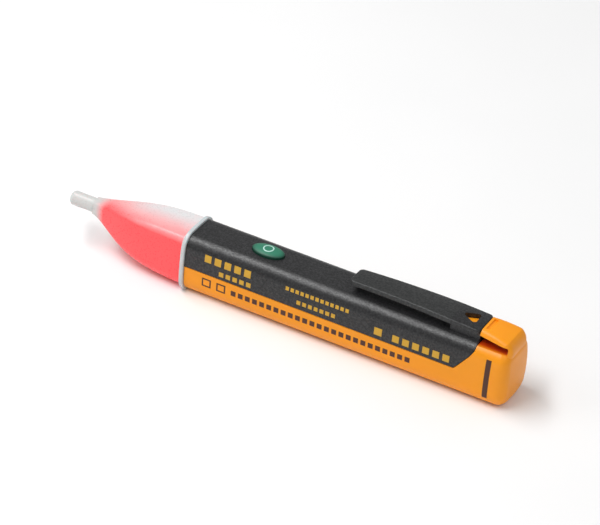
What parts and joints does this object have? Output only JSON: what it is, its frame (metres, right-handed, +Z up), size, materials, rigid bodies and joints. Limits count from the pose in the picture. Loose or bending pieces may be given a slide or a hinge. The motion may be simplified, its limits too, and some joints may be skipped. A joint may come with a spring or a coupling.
{
  "type": "non-contact voltage tester",
  "caption": "Pen-shaped non-contact voltage tester with a glowing translucent nose, push button, pocket clip and a sliding battery cover with a release latch.",
  "frame": {"origin": "middle of the length and width, on the plane the flat underside rests on", "axes": "+X towards the tail, so the probe tip points to -X; +Z up, out of the face with the button and the pocket clip; +Y to the left when looking from the tip to the tail"},
  "size_m": [0.1492, 0.0182, 0.0232],
  "materials": {
    "nose_plastic": "translucent moulded plastic, red towards its sides, pale along its top",
    "shell_plastic": "finely textured dark grey moulded plastic",
    "clip_plastic": "the shell's dark grey plastic",
    "button_rubber": "satin green plastic",
    "cover_plastic": "finely textured orange moulded plastic",
    "latch_plastic": "the cover's orange plastic",
    "tray_plastic": "off-white moulded plastic",
    "cell_can": "nickel-plated can ends",
    "cell_jacket": "plain printed jacket with one metallic band",
    "contact_metal": "nickel-plated spring steel",
    "pad_foam": "dark foam",
    "board_green": "green solder mask",
    "screw_steel": "zinc-plated steel",
    "chip_black": "black moulding compound",
    "resistor_black": "black film on ceramic",
    "capacitor_tan": "tan ceramic",
    "led_red": "clear red epoxy",
    "leg_tin": "tinned steel",
    "rod_brass": "bare brass",
    "lead_jacket": "red insulation",
    "sounder_black": "black plastic",
    "switch_black": "black plastic"
  },
  "bodies": {
    "instrument": {"nose_lens": "nose_plastic", "upper_shell": "shell_plastic", "battery_tray": "tray_plastic", "front_cell": "cell_can", "rear_cell": "cell_can", "front_cell_sleeve": "cell_jacket", "rear_cell_sleeve": "cell_jacket", "front_contact": "contact_metal", "rear_contact_strip": "contact_metal", "cell_spring": "contact_metal", "circuit_board": "board_green", "board_screws": "screw_steel", "control_chip": "chip_black", "resistors": "resistor_black", "capacitors": "capacitor_tan", "transistors": "chip_black", "warning_led": "led_red", "led_legs": "leg_tin", "sensing_rod": "rod_brass", "sensing_lead": "lead_jacket", "sounder_case": "sounder_black", "sounder_disc": "rod_brass", "switch_base": "switch_black", "switch_plate": "leg_tin", "switch_dome": "contact_metal"},
    "button": {"power_button": "button_rubber"},
    "stem": {"switch_stem": "switch_black"},
    "clip": {"pocket_clip": "clip_plastic"},
    "cover": {"lower_cover": "cover_plastic", "cell_pad": "pad_foam"},
    "latch": {"release_latch": "latch_plastic"}
  },
  "joints": [
    {"name": "button_press", "type": "slide", "parent": "instrument", "child": "button", "axis": [0, 0, -1], "range_m": [0, 0.00045], "stiffness_N_per_m": 400, "springref_m": -0.0015},
    {"name": "stem_travel", "type": "slide", "parent": "instrument", "child": "stem", "axis": [0, 0, -1], "range_m": [0, 0.00045], "deforming": ["switch_dome"]},
    {"name": "clip_flex", "type": "hinge", "parent": "instrument", "child": "clip", "pos_m": [0.05395, 0, 0.0231], "axis": [0, 1, 0], "range_deg": [0, 6], "stiffness_Nm_per_rad": 1},
    {"name": "cover_slide", "type": "slide", "parent": "instrument", "child": "cover", "axis": [1, 0, 0], "range_m": [0, 0.105]},
    {"name": "latch_press", "type": "hinge", "parent": "cover", "child": "latch", "pos_m": [0.07195, 0, 0.02037], "axis": [0, -1, 0], "range_deg": [0, 4], "stiffness_Nm_per_rad": 1.5}
  ],
  "couplings": [
    {"joint": "stem_travel", "follows": "button_press", "ratio": 1}
  ]
}
